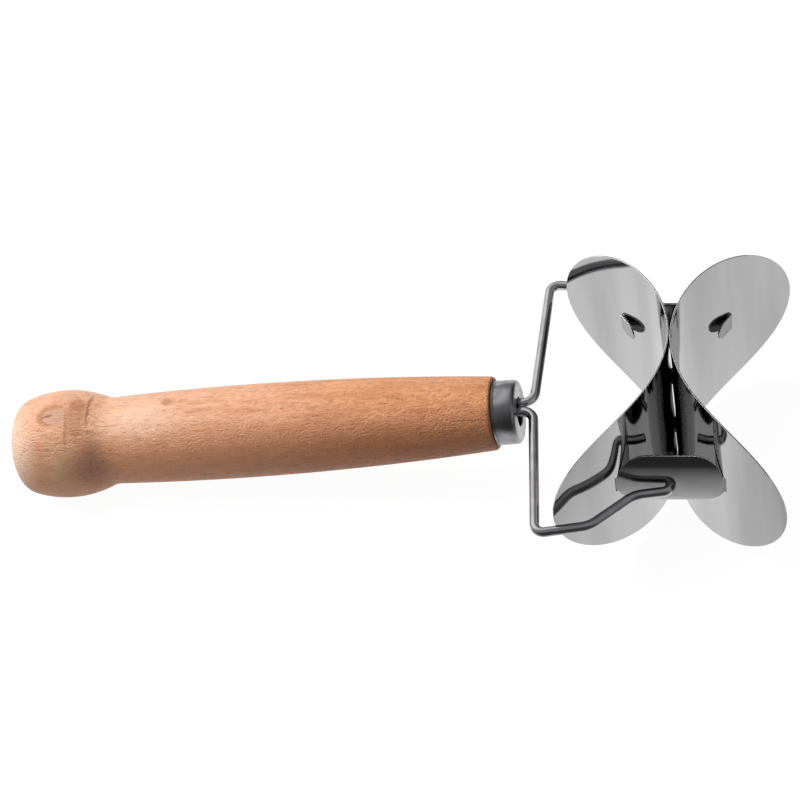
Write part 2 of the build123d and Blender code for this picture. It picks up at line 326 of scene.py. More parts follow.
# Angles from which an edge is shaded sharp, or is a cut edge to be broken
TURNED_SHARP = radians(30)
DRAWN_SHARP = radians(40)
SHEET_SHARP = radians(20)
CUT_SHARP = radians(50)
# How far tools and formers reach past what they cut or press, and how close doubles lie
OVERRUN = MM
DOUBLES_APART = 0.001 * MM
# Attribute on the sheets' faces that the finish reads
CUT_EDGE = "cut_edge"


def pick(piece):
    """Selects one piece alone and makes it the active one."""
    bpy.ops.object.select_all(action="DESELECT")
    piece.select_set(True)
    bpy.context.view_layer.objects.active = piece


def open_mesh(piece):
    """Opens a piece in edit mode."""
    bpy.context.view_layer.objects.active = piece
    bpy.ops.object.mode_set(mode="EDIT")


def arc(centre, radius, start, turn, steps):
    """Points on an arc in a plane, as pairs."""
    angles = [start + turn * step / steps for step in range(steps + 1)]
    return [(centre[0] + radius * cos(a), centre[1] + radius * sin(a)) for a in angles]


def start_point(name, place):
    """Starts a piece as one selected point, in edit mode."""
    bpy.ops.object.select_all(action="DESELECT")
    bpy.ops.mesh.primitive_plane_add(size=MM, enter_editmode=True, location=(0, 0, 0))
    bpy.context.object.name = name
    bpy.ops.mesh.select_mode(type="VERT")
    bpy.ops.mesh.merge(type="CENTER")
    bpy.ops.transform.translate(value=place)
    return bpy.context.object


def start_ring(name, place, radius, sides):
    """Starts a piece as one selected ring round the x direction, in edit mode."""
    bpy.ops.object.select_all(action="DESELECT")
    bpy.ops.mesh.primitive_circle_add(vertices=sides, radius=radius, enter_editmode=True, location=(0, 0, 0))
    bpy.context.object.name = name
    bpy.ops.mesh.select_mode(type="VERT")
    bpy.ops.transform.rotate(value=pi / 2, orient_axis="Y", center_override=(0, 0, 0))
    bpy.ops.transform.translate(value=place)
    return bpy.context.object


def pull(step):
    """Extrudes what is selected by one step."""
    bpy.ops.mesh.extrude_region_move(TRANSFORM_OT_translate={"value": step})


def draw_line(points):
    """Draws edges from the selected point through the others."""
    for before, after in zip(points, points[1:]):
        bpy.ops.mesh.extrude_vertices_move(TRANSFORM_OT_translate={"value": Vector(after) - Vector(before)})


def turn_profile(profile):
    """Draws the selected ring through the stations of a profile, as pairs of distance and radius."""
    for (before, radius), (after, next_radius) in zip(profile, profile[1:]):
        pull((before - after, 0, 0))
        share = next_radius / radius
        bpy.ops.transform.resize(value=(1, share, share), center_override=(-after, 0, 0))


def bend_spin(turn, centre, axis, steps):
    """Spins what is selected about an axis, the right-handed way."""
    bpy.ops.mesh.spin(steps=steps, angle=-turn, center=centre, axis=axis)


def select_where(kind, test):
    """Selects the points, edges or faces that pass a test, and nothing else."""
    bpy.ops.mesh.select_mode(type={"verts": "VERT", "edges": "EDGE", "faces": "FACE"}[kind])
    bpy.ops.mesh.select_all(action="DESELECT")
    mesh = bpy.context.object.data
    shape = bmesh.from_edit_mesh(mesh)
    found = [item for item in getattr(shape, kind) if test(item)]
    for item in found:
        item.select_set(True)
    shape.select_flush(True)
    bmesh.update_edit_mesh(mesh)
    if not found:
        raise RuntimeError(f"nothing selected on {bpy.context.object.name}")


def close_mesh():
    """Merges doubles, turns the faces outwards and leaves edit mode."""
    bpy.ops.mesh.select_all(action="SELECT")
    bpy.ops.mesh.remove_doubles(threshold=DOUBLES_APART)
    bpy.ops.mesh.normals_make_consistent(inside=False)
    bpy.ops.object.mode_set(mode="OBJECT")


def apply_modifier(piece, kind, **settings):
    """Adds a modifier, sets it and applies it."""
    bpy.context.view_layer.objects.active = piece
    modifier = piece.modifiers.new(kind.title(), kind)
    for setting, value in settings.items():
        setattr(modifier, setting, value)
    bpy.ops.object.modifier_apply(modifier=modifier.name)


def thicken(piece, sheet):
    """Gives a flat sheet its thickness."""
    for _ in range(2):
        piece.data.materials.append(None)
    apply_modifier(piece, "SOLIDIFY", thickness=sheet, offset=0, use_even_offset=True)


def break_edges(piece, width):
    """Takes the sharpness off the cut edges and marks them in an attribute that the finish reads."""
    apply_modifier(
        piece, "BEVEL", width=width, segments=2, limit_method="ANGLE", angle_limit=CUT_SHARP, material=1
    )
    marks = piece.data.attributes.new(CUT_EDGE, "FLOAT", "FACE")
    for face in piece.data.polygons:
        marks.data[face.index].value = face.material_index
        face.material_index = 0


def remove(piece):
    """Takes a helper shape away again."""
    mesh = piece.data
    bpy.data.objects.remove(piece)
    bpy.data.meshes.remove(mesh)


def cut_with(piece, tool):
    """Cuts a closed tool out of a piece and takes the tool away."""
    apply_modifier(piece, "BOOLEAN", operation="DIFFERENCE", solver="EXACT", object=tool)
    remove(tool)


def cap_open_end():
    """Closes the open end of a mesh with a face."""
    select_where("edges", lambda edge: edge.is_boundary)
    bpy.ops.mesh.edge_face_add()


def sweep_former(name, profile, step):
    """A former for pressing sheets: a line through a profile, swept by one step."""
    former = start_point(name, profile[0])
    draw_line(profile)
    bpy.ops.mesh.select_all(action="SELECT")
    pull(step)
    bpy.ops.object.mode_set(mode="OBJECT")
    return former


def smooth(piece, sharp_angle):
    """Shades a piece smooth, with its sharper edges kept."""
    pick(piece)
    bpy.ops.object.shade_smooth_by_angle(angle=sharp_angle)


def settle(piece, placing, body, node, material):
    """Puts a piece in its place, then ties it to its body and its finish, and hides the solid that it stands for.
    """
    pick(piece)
    piece.matrix_world = placing
    bpy.ops.object.transform_apply(location=True, rotation=True, scale=True)
    piece.data.materials.clear()
    piece.data.materials.append(material)
    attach(piece, body)
    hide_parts(node)


def copy_piece(piece, name):
    """A copy with its own mesh."""
    pick(piece)
    bpy.ops.object.duplicate(linked=False)
    bpy.context.object.name = name
    return bpy.context.object


def grip_place():
    """Where a grip piece goes."""
    return Matrix.Translation(roller_centre) @ Matrix.Rotation(-handle_tilt, 4, "Y")


def roller_place(half_turn=False):
    """Where a roller piece goes, turned half round for the copy on the other side."""
    turn = bpy.context.scene.roller_cutter.roller.turn
    place = Matrix.Translation(roller_centre) @ Matrix.Rotation(turn, 4, "Y")
    return place @ Matrix.Rotation(pi, 4, "Z") if half_turn else place


# Finishes


def add_node(tree, kind, inputs=None, **settings):
    """Adds a shader node with its settings and inputs. An input is a value or another node's output."""
    node = tree.nodes.new(kind)
    for setting, value in settings.items():
        setattr(node, setting, value)
    for socket, value in (inputs or {}).items():
        if isinstance(value, bpy.types.NodeSocket):
            tree.links.new(value, node.inputs[socket])
        else:
            node.inputs[socket].default_value = value
    return node


def new_material(name):
    """An empty material with its shader, and the shader's node."""
    material = bpy.data.materials.new(name)
    material.use_nodes = True
    return material, material.node_tree, material.node_tree.nodes["Principled BSDF"]


def own_place(tree):
    """Coordinates of the piece, in metres."""
    return add_node(tree, "ShaderNodeTexCoord").outputs["Object"]


def handle_place(tree):
    """Coordinates in the handle's own frame: x towards the roller, y to the left, z up."""
    return add_node(
        tree, "ShaderNodeMapping",
        {"Vector": own_place(tree), "Location": roller_centre, "Rotation": (0, -handle_tilt, 0)},
        vector_type="TEXTURE",
    ).outputs["Vector"]


def stretched(tree, place, waves):
    """Coordinates counted in waves to the metre, with their own number in each direction."""
    return add_node(tree, "ShaderNodeMapping", {"Vector": place, "Scale": waves}).outputs["Vector"]


def noise(tree, place, detail):
    """Noise with one wave to each unit of its coordinates."""
    waves = {"Vector": place, "Scale": 1, "Detail": detail}
    return add_node(tree, "ShaderNodeTexNoise", waves).outputs["Fac"]


def ramp(tree, value, low, high, top=1):
    """Rises softly from none at the low value to the top at the high one."""
    limits = {"Value": value, "From Min": low, "From Max": high, "To Max": top}
    return add_node(tree, "ShaderNodeMapRange", limits, interpolation_type="SMOOTHSTEP").outputs["Result"]


def between(tree, share, low, high):
    """A value as far from the low one to the high one as the share says."""
    limits = {"Value": share, "To Min": low, "To Max": high}
    return add_node(tree, "ShaderNodeMapRange", limits).outputs["Result"]


def blend(tree, share, base, over):
    """Mixes one colour over another by a share."""
    colours = {"Factor": share, "A": base, "B": over}
    return add_node(tree, "ShaderNodeMix", colours, data_type="RGBA").outputs["Result"]


def value_math(tree, operation, *values):
    """The result of a sum on values."""
    return add_node(tree, "ShaderNodeMath", dict(enumerate(values)), operation=operation).outputs["Value"]


def vector_math(tree, operation, *vectors):
    """The results of a sum on vectors."""
    return add_node(tree, "ShaderNodeVectorMath", dict(enumerate(vectors)), operation=operation).outputs


def soft_mark(centre, reach, strength, heart=0.4, turn=0):
    """One soft mark, in millimetres and degrees. Its heart is the share of its reach that it fills."""
    return {"centre": centre, "reach": reach, "strength": strength, "heart": heart, "turn": turn}


def mark_mask(tree, place, mark):
    """Where a soft mark shows: full at its heart, none beyond its reach."""
    spread = {
        "Vector": place,
        "Location": Vector(mark["centre"]) * MM,
        "Rotation": (0, 0, radians(mark["turn"])),
        "Scale": Vector(mark["reach"]) * MM,
    }
    local = add_node(tree, "ShaderNodeMapping", spread, vector_type="TEXTURE").outputs["Vector"]
    away = vector_math(tree, "LENGTH", local)["Value"]
    return ramp(tree, away, 1, mark["heart"], mark["strength"])


def wood_layer(waves, detail, low, high, strength=1):
    """One layer of the wood's colour: its waves to the metre, and the noise it fades in between."""
    return {"waves": waves, "detail": detail, "low": low, "high": high, "strength": strength}


def layer_mask(tree, place, layer):
    """Where a layer of the wood's colour shows."""
    value = noise(tree, stretched(tree, place, layer["waves"]), layer["detail"])
    return ramp(tree, value, layer["low"], layer["high"], layer["strength"])


WOOD_LAYERS = {
    "drift": wood_layer((16, 60, 60), 2, 0.3, 0.7, 0.35),
    "figure": wood_layer((60, 420, 420), 4, 0.4, 0.75, 0.4),
    "mottle": wood_layer((550, 1500, 1500), 3, 0.4, 0.65, 0.38),
    "pores": wood_layer((300, 2000, 2000), 2, 0.52, 0.76, 0.36),
    "rough edge": wood_layer((500, 900, 900), 3, 0.15, 0.45),
}
# The finest grain, as relief and as speckles in the stains
GRAIN_WAVES = (1700, 2400, 2400)
GRAIN_DETAIL = 3
GRAIN_RELIEF = 0.6 * MM
PORE_RELIEF = -0.4
SPECKLE_SPAN = (0.15, 0.6)
# Where the wood turns warm along the handle, and painted shade: darker, redder wood round its right side, away
# from the light
WARM_SPAN = (-150 * MM, -60 * MM)
SHADED_SIDE_SPAN = (-3 * MM, -10 * MM)
SHADED_SIDE_STRENGTH = 0.7
# How far the outlines of the marks wander
RAGGED_WAVES = 450
RAGGED_DETAIL = 2
RAGGED_SHIFT = (1.6 * MM, 1.6 * MM, 1.6 * MM)
NOISE_MIDDLE = (0.5, 0.5, 0.5)
BORED_SHADE_FADE = 2 * MM

# Marks in the handle's frame, each with the colour of the wood that it takes
WOOD_MARKS = {
    "pale rear end": ("pale", soft_mark((-171, -6, 6), (12, 14, 14), 0.9, 0.3)),
    "pale patch at the neck": ("pale", soft_mark((-135, -1.5, 11), (13, 7, 8), 0.4, 0.2)),
    "tan under the knob": ("tan", soft_mark((-156, -10, 6), (9, 9, 12), 0.6, 0)),
    "veil over the knob": ("knot", soft_mark((-152.5, 2, 13), (10, 11, 9), 0.3, 0.2)),
    "stain round the neck": ("stain", soft_mark((-148.5, -10.8, 5), (10, 9, 11), 0.75, 0)),
    "stain on the neck": ("stain", soft_mark((-147.8, -7.8, 8), (4, 6, 6), 0.5, 0)),
    "brown band": ("knot", soft_mark((-151.2, -0.6, 13), (3.4, 7, 6), 0.5, 0.6)),
    "spots on the band": ("knot", soft_mark((-151.4, 2.3, 12.9), (2.4, 2.4, 4), 0.7)),
    "knot": ("knot", soft_mark((-157.7, -0.5, 13.7), (4.4, 3.9, 4), 0.62, 0.75)),
    "heart of the knot": ("heart", soft_mark((-156.8, -1.1, 13.6), (3.7, 2.9, 4), 0.8, 0.75)),
    "crack in the knot": ("pore", soft_mark((-158.8, -1, 13.7), (2.2, 0.4, 4), 0.95, 0.3, 17)),
    "turning line": ("knot", soft_mark((-153.7, -5, 12.6), (0.6, 6, 6), 0.6)),
    "neck line": ("pore", soft_mark((-148.5, 2.6, 11.8), (0.5, 8, 6), 0.7, 0.3)),
    "smudge": ("pore", soft_mark((-148, -4.7, 10.9), (2.6, 0.8, 3), 0.5, 0)),
    "smudge tail": ("pore", soft_mark((-151, -5.6, 11.9), (3.6, 0.7, 3), 0.45, 0)),
    "small spot": ("knot", soft_mark((-127.9, 2.7, 10.9), (2.2, 1.8, 4), 0.7)),
}


def lay_wood_marks(tree, place, grain, rough_edge, tone):
    """Lays the marks over the wood, with outlines that wander. Stains are speckled by the grain."""
    colours = bpy.context.scene.roller_cutter.colours
    waves = {"Vector": place, "Scale": RAGGED_WAVES, "Detail": RAGGED_DETAIL}
    ragged = add_node(tree, "ShaderNodeTexNoise", waves).outputs["Color"]
    shift = vector_math(tree, "SUBTRACT", ragged, NOISE_MIDDLE)["Vector"]
    wander = vector_math(tree, "MULTIPLY_ADD", shift, RAGGED_SHIFT, place)["Vector"]
    speckle = ramp(tree, grain, *SPECKLE_SPAN)
    for kind, mark in WOOD_MARKS.values():
        mask = mark_mask(tree, wander, mark)
        if kind == "stain":
            mask = value_math(tree, "MULTIPLY", mask, speckle)
        elif kind != "heart":
            mask = value_math(tree, "MULTIPLY", mask, rough_edge)
        tone = blend(tree, mask, tone, getattr(colours, f"wood_{kind}"))
    return tone


def wood_finish():
    """Turned hardwood: lengthwise figure, short pores, a knot with its stains, painted shade round its right side,
    and the bored end painted dark as shade.
    """
    colours = bpy.context.scene.roller_cutter.colours
    material, tree, shader = new_material("turned_wood")
    place = handle_place(tree)
    part = add_node(tree, "ShaderNodeSeparateXYZ", {"Vector": place}).outputs
    layers = {name: layer_mask(tree, place, layer) for name, layer in WOOD_LAYERS.items()}
    grain = noise(tree, stretched(tree, place, GRAIN_WAVES), GRAIN_DETAIL)
    along = ramp(tree, part["X"], *WARM_SPAN)
    # Painted shade: the handle's right side, away from the light, is painted darker and redder
    shaded_side = ramp(tree, part["Y"], *SHADED_SIDE_SPAN, SHADED_SIDE_STRENGTH)
    dark = blend(tree, along, colours.wood_dark, colours.wood_deep)
    tone = blend(tree, along, colours.wood_light, colours.wood_warm)
    tone = blend(tree, layers["drift"], tone, colours.wood_warm)
    for share in (shaded_side, layers["figure"], layers["mottle"]):
        tone = blend(tree, share, tone, dark)
    tone = lay_wood_marks(tree, place, grain, layers["rough edge"], tone)
    tone = blend(tree, layers["pores"], tone, colours.wood_pore)
    at = grip_shape()
    # Painted shade: the bored end fades to near black inside the ferrule
    bored_shade = ramp(tree, part["X"], -at.wood_front + BORED_SHADE_FADE, -at.tenon_front - BORED_SHADE_FADE)
    tone = blend(tree, bored_shade, tone, colours.wood_bored_shade)
    height = value_math(tree, "MULTIPLY_ADD", layers["pores"], PORE_RELIEF, grain)
    relief = add_node(tree, "ShaderNodeBump", {"Height": height, "Strength": 1, "Distance": GRAIN_RELIEF})
    tree.links.new(tone, shader.inputs["Base Color"])
    tree.links.new(relief.outputs["Normal"], shader.inputs["Normal"])
    shader.inputs["Roughness"].default_value = 0.5
    return material


WEAR_INPUTS = {
    "Place": "Vector", "Light": "Color", "Dark": "Color", "Edge Tint": "Color",
    "Polish": "Float", "Dull": "Float", "Edge": "Float",
}
WEAR_OUTPUTS = {"Color": "Color", "Roughness": "Float", "Metallic": "Float", "Height": "Float"}
WEAR_SPAN = (0.3, 0.7)
STREAK_DETAIL = 3
STREAK_RELIEF = 0.1 * MM
EDGE_ROUGHNESS = 0.5
EDGE_METAL = 0.4


def steel_wear():
    """Node group that all the steels share: streaks in tint, roughness and height, and duller cut edges."""
    if "steel_wear" in bpy.data.node_groups:
        return bpy.data.node_groups["steel_wear"]
    group = bpy.data.node_groups.new("steel_wear", "ShaderNodeTree")
    for in_out, sockets in (("INPUT", WEAR_INPUTS), ("OUTPUT", WEAR_OUTPUTS)):
        for name, kind in sockets.items():
            group.interface.new_socket(name, in_out=in_out, socket_type=f"NodeSocket{kind}")
    given = add_node(group, "NodeGroupInput").outputs
    streak = noise(group, given["Place"], STREAK_DETAIL)
    wear = ramp(group, streak, *WEAR_SPAN)
    tint = blend(group, wear, given["Light"], given["Dark"])
    roughness = between(group, wear, given["Polish"], given["Dull"])
    results = {
        "Color": blend(group, given["Edge"], tint, given["Edge Tint"]),
        "Roughness": between(group, given["Edge"], roughness, EDGE_ROUGHNESS),
        "Metallic": between(group, given["Edge"], 1, EDGE_METAL),
        "Height": streak,
    }
    add_node(group, "NodeGroupOutput", results)
    return group


def steel(name, place_of, waves, polish, dull, relief):
    """One steel: its streaks in waves to the metre, its roughness from polished to dull, and their relief."""
    return {
        "name": name, "place_of": place_of, "waves": waves, "polish": polish, "dull": dull, "relief": relief
    }


STEELS = {
    "ferrule": steel("drawn_ferrule_steel", handle_place, (500, 260, 260), 0.24, 0.36, 0.1),
    "wire": steel("drawn_wire_steel", own_place, (260, 260, 260), 0.06, 0.12, 0.01),
    "blade": steel("polished_blade_steel", own_place, (70, 70, 6), 0.05, 0.08, 0.004),
    "plate": steel("rolled_plate_steel", own_place, (160, 160, 160), 0.12, 0.18, 0.01),
    "weld": steel("weld_steel", own_place, (1500, 1500, 1500), 0.45, 0.65, 0.3),
}


def steel_finish(kind):
    """A steel with streaks: lighter where it is polished, darker where it is dull."""
    colours = bpy.context.scene.roller_cutter.colours
    chosen = STEELS[kind]
    material, tree, shader = new_material(chosen["name"])
    inputs = {
        "Place": stretched(tree, chosen["place_of"](tree), chosen["waves"]),
        "Light": getattr(colours, f"{kind}_light"),
        "Dark": getattr(colours, f"{kind}_dark"),
        "Edge Tint": colours.cut_edge,
        "Polish": chosen["polish"],
        "Dull": chosen["dull"],
        "Edge": add_node(tree, "ShaderNodeAttribute", attribute_name=CUT_EDGE).outputs["Fac"],
    }
    wear = add_node(tree, "ShaderNodeGroup", inputs, node_tree=steel_wear()).outputs
    streaks = {"Height": wear["Height"], "Strength": chosen["relief"], "Distance": STREAK_RELIEF}
    bump = add_node(tree, "ShaderNodeBump", streaks)
    tree.links.new(wear["Color"], shader.inputs["Base Color"])
    tree.links.new(wear["Roughness"], shader.inputs["Roughness"])
    tree.links.new(wear["Metallic"], shader.inputs["Metallic"])
    tree.links.new(bump.outputs["Normal"], shader.inputs["Normal"])
    return material


# Pieces


class TurnHandle(Operator):
    """Turns the wooden handle from its tenon to its knob and bores it for the wires"""

    bl_idname = "roller_cutter.turn_handle"
    bl_label = "Turn handle"

    def execute(self, context):
        settings = context.scene.roller_cutter
        sizes = settings.grip
        at = grip_shape()
        corner = sizes.ferrule_round
        profile = [
            (at.tenon_front + sizes.tenon_dish, sizes.ferrule_hole - sizes.ferrule_sheet),
            (at.tenon_front + sizes.tenon_dish / 2, sizes.ferrule_hole),
            (at.tenon_front, sizes.ferrule_hole + sizes.ferrule_sheet),
        ]
        profile += arc((at.tenon_front + corner, at.tenon_radius - corner), corner, pi, -pi / 2, CORNER_STEPS)
        profile += [(at.wood_front, at.tenon_radius)]
        profile += self.barrel(sizes, at)
        hollow_centre = (at.neck_at, sizes.neck_radius + sizes.neck_hollow)
        profile += arc(hollow_centre, sizes.neck_hollow, -pi / 2, at.flare, NECK_STEPS)[1:]
        profile += self.knob(sizes, at)
        front = profile[0]
        handle = start_ring("turned_handle", (-front[0], 0, 0), front[1], TURNED_SIDES)
        turn_profile(profile)
        bpy.ops.mesh.merge(type="CENTER")
        cap_open_end()
        close_mesh()
        self.bore(handle, settings, at)
        smooth(handle, TURNED_SHARP)
        settle(handle, grip_place(), "grip", "handle", wood_finish())
        return {"FINISHED"}

    def barrel(self, sizes, at):
        """The rounded front edge and the barrel, an arc through its front, belly and neck."""
        belly = (at.wood_front + sizes.belly_at, sizes.belly_radius)
        front_run = sizes.belly_at
        rear_run = sizes.barrel_length - sizes.belly_at
        front_drop = sizes.belly_radius - sizes.front_radius
        rear_drop = sizes.belly_radius - sizes.neck_radius
        # the arc's centre is as far from the belly as from both ends
        turn = 2 * (front_run * rear_drop + rear_run * front_drop)
        lean = (front_run * (rear_run**2 + rear_drop**2) + rear_run * (front_run**2 + front_drop**2)) / turn
        shift = (rear_run**2 + rear_drop**2 - 2 * lean * rear_drop) / (2 * rear_run)
        centre = (belly[0] + shift, belly[1] - lean)
        radius = hypot(shift, lean)
        edge_at = at.wood_front + sizes.front_round
        edge_radius = centre[1] + sqrt(radius**2 - (edge_at - centre[0]) ** 2)
        edge_centre = (edge_at, edge_radius - sizes.front_round)
        edge = arc(edge_centre, sizes.front_round, pi, -pi / 2, CORNER_STEPS)
        start = atan2(edge_radius - centre[1], edge_at - centre[0])
        end = atan2(sizes.neck_radius - centre[1], at.neck_at - centre[0])
        return edge + arc(centre, radius, start, end - start, BARREL_STEPS)[1:]

    def knob(self, sizes, at):
        """The crowned side, the rounded rear edge and the flat end."""
        round_at = at.rear - sizes.knob_round
        crown_reach = sizes.knob_crown - sizes.knob_round
        rear_turn = asin((round_at - at.knob_at) / crown_reach)
        crown_turn = at.flare + rear_turn
        crown_centre = (at.knob_at, at.crown_centre)
        crown = arc(crown_centre, sizes.knob_crown, pi / 2 + at.flare, -crown_turn, CROWN_STEPS)[1:]
        round_radius = at.crown_centre + crown_reach * cos(rear_turn)
        start = pi / 2 - rear_turn
        edge = arc((round_at, round_radius), sizes.knob_round, start, -start, KNOB_EDGE_STEPS)[1:]
        last_ring = MM
        return crown + edge + [(at.rear, round_radius / 2), (at.rear, last_ring)]

    def bore(self, handle, settings, at):
        """Bores the tenon for the two tangs."""
        yoke = settings.yoke
        radius = 2 * yoke.wire_radius + yoke.tang_gap / 2 + settings.grip.bore_clearance
        inset = MM
        drill_start = -at.tenon_front - inset
        drill = start_ring("drill", (drill_start, 0, yoke.tang_rise), radius, ROUND_SIDES)
        bpy.ops.mesh.edge_face_add()
        pull((-yoke.tang_length, 0, 0))
        close_mesh()
        cut_with(handle, drill)


class DrawFerrule(Operator):
    """Draws the steel cap on the front of the handle, with its hole and its turned lip"""

    bl_idname = "roller_cutter.draw_ferrule"
    bl_label = "Draw ferrule"

    def execute(self, context):
        sizes = context.scene.roller_cutter.grip
        at = grip_shape()
        outside = sizes.ferrule_radius
        inside = outside - sizes.ferrule_sheet
        outer_round = sizes.ferrule_round + sizes.ferrule_sheet / 2
        inner_round = sizes.ferrule_round - sizes.ferrule_sheet / 2
        rim = sizes.ferrule_sheet / 2
        groove = sizes.ferrule_lip + rim / 2
        profile = arc((at.wood_front - rim, outside - rim), rim, 0, pi / 2, CORNER_STEPS)
        profile += [
            (at.wood_front - sizes.ferrule_lip, outside),
            (at.wood_front - groove, outside - rim / 3),
            (at.wood_front - groove - rim / 2, outside),
        ]
        front_centre = (at.ferrule_front + outer_round, outside - outer_round)
        profile += arc(front_centre, outer_round, pi / 2, pi / 2, FERRULE_FRONT_STEPS)
        hole_centre = (at.ferrule_front + rim, sizes.ferrule_hole + rim)
        profile += arc(hole_centre, rim, -pi, pi, FERRULE_HOLE_STEPS)
        inner_centre = (at.tenon_front + inner_round, inside - inner_round)
        profile += arc(inner_centre, inner_round, pi, -pi / 2, CORNER_STEPS)
        profile += [(at.wood_front - rim, inside), profile[0]]
        ferrule = start_ring("drawn_ferrule", (-profile[0][0], 0, 0), profile[0][1], TURNED_SIDES)
        turn_profile(profile)
        close_mesh()
        smooth(ferrule, DRAWN_SHARP)
        settle(ferrule, grip_place(), "grip", "ferrule", steel_finish("ferrule"))
        return {"FINISHED"}


class BendYokeWires(Operator):
    """Bends the two yoke wires from their tangs in the handle to their stubs in the hubs"""

    bl_idname = "roller_cutter.bend_yoke_wires"
    bl_label = "Bend yoke wires"

    def execute(self, context):
        settings = context.scene.roller_cutter
        finish = steel_finish("wire")
        for name, side in (("left", 1), ("right", -1)):
            wire = self.bend(f"{name}_bent_wire", side, settings)
            smooth(wire, DRAWN_SHARP)
            settle(wire, grip_place(), "grip", f"{name}_yoke_wire", finish)
        return {"FINISHED"}

    def route(self, side, settings):
        """The corners of a wire's route."""
        sizes = settings.yoke
        roller = roller_shape()
        at = grip_shape()
        tang_y = side * (sizes.wire_radius + sizes.tang_gap / 2)
        yoke_y = side * (roller.reach + sizes.tip_clearance + sizes.wire_radius)
        hook_gap = settings.roller.plate_sheet / 2 + sizes.hook_clearance + sizes.wire_radius
        hook_y = side * (roller.hub_at + hook_gap)
        rise = sizes.tang_rise
        fall = rise / at.corner_at
        return [
            Vector((-at.tenon_front - sizes.tang_length, tang_y, rise)),
            Vector((-at.crossbar_at, tang_y, rise)),
            Vector((-at.corner_at, yoke_y, rise)),
            Vector((-sizes.shoulder_at, yoke_y - side * sizes.side_lean, fall * sizes.shoulder_at)),
            Vector((-sizes.elbow_at, hook_y + side * sizes.elbow_rise, fall * sizes.elbow_at)),
            Vector((0, hook_y, 0)),
            Vector((0, side * (roller.hub_at - sizes.stub_inside), 0)),
        ]

    def bend(self, name, side, settings):
        """Extrudes a round wire along its route, with a spin for each bend."""
        sizes = settings.yoke
        route = self.route(side, settings)
        bends = [sizes.neck_bend, sizes.corner_bend, sizes.arm_bend, sizes.arm_bend, sizes.hook_bend]
        wire = start_ring(name, route[0], sizes.wire_radius, ROUND_SIDES)
        reached = route[0]
        for before, corner, after, radius in zip(route, route[1:], route[2:], bends):
            heading = (corner - before).normalized()
            leaving = (after - corner).normalized()
            turn = heading.angle(leaving)
            setback = radius * tan(turn / 2)
            bend_start = corner - heading * setback
            pull(bend_start - reached)
            axis = heading.cross(leaving).normalized()
            steps = max(LEAST_BEND_STEPS, round(turn / BEND_STEP))
            bend_spin(turn, bend_start + axis.cross(heading) * radius, axis, steps)
            reached = corner + leaving * setback
        leaving = (route[-1] - route[-2]).normalized()
        end_start = route[-1] - leaving * sizes.end_round
        pull(end_start - reached)
        self.round_end(end_start, leaving, sizes)
        cap_open_end()
        close_mesh()
        return wire

    def round_end(self, start, heading, sizes):
        """Rounds the cut end over, down to a flat face."""
        steps = 5
        radius = sizes.wire_radius
        core = sizes.wire_radius - sizes.end_round
        place = start
        for step in range(1, steps + 1):
            bend = pi / 2 * step / steps
            next_place = start + heading * sizes.end_round * sin(bend)
            next_radius = core + sizes.end_round * cos(bend)
            pull(next_place - place)
            share = next_radius / radius
            bpy.ops.transform.resize(value=(share, 1, share), center_override=next_place)
            place, radius = next_place, next_radius
        bpy.ops.mesh.edge_face_add()


def cut_blank(name, outline, rim_rows, span):
    """Cuts a flat sheet to an outline, with rows along its rim and a grid inside."""
    blank = start_point(name, outline[0])
    draw_line(outline)
    bpy.ops.mesh.select_all(action="SELECT")
    bpy.ops.mesh.edge_face_add()
    bpy.ops.mesh.select_mode(type="FACE")
    for width in rim_rows:
        bpy.ops.mesh.inset(thickness=width, depth=0)
    bpy.ops.mesh.delete(type="ONLY_FACE")
    rim_width = sum(rim_rows)

    def on_inner_loop(edge):
        place = edge.verts[0].co
        return edge.is_boundary and min((place - Vector(point)).length for point in outline) > rim_width / 2

    select_where("edges", on_inner_loop)
    bpy.ops.mesh.fill_grid(span=span)
    return blank


def press(blank, former, axis):
    """Presses a flat sheet onto a former along an axis."""
    apply_modifier(
        blank, "SHRINKWRAP", target=former, wrap_method="PROJECT",
        use_project_x=axis == "X", use_project_y=axis == "Y", use_project_z=axis == "Z",
        use_positive_direction=True, use_negative_direction=True,
    )
    remove(former)


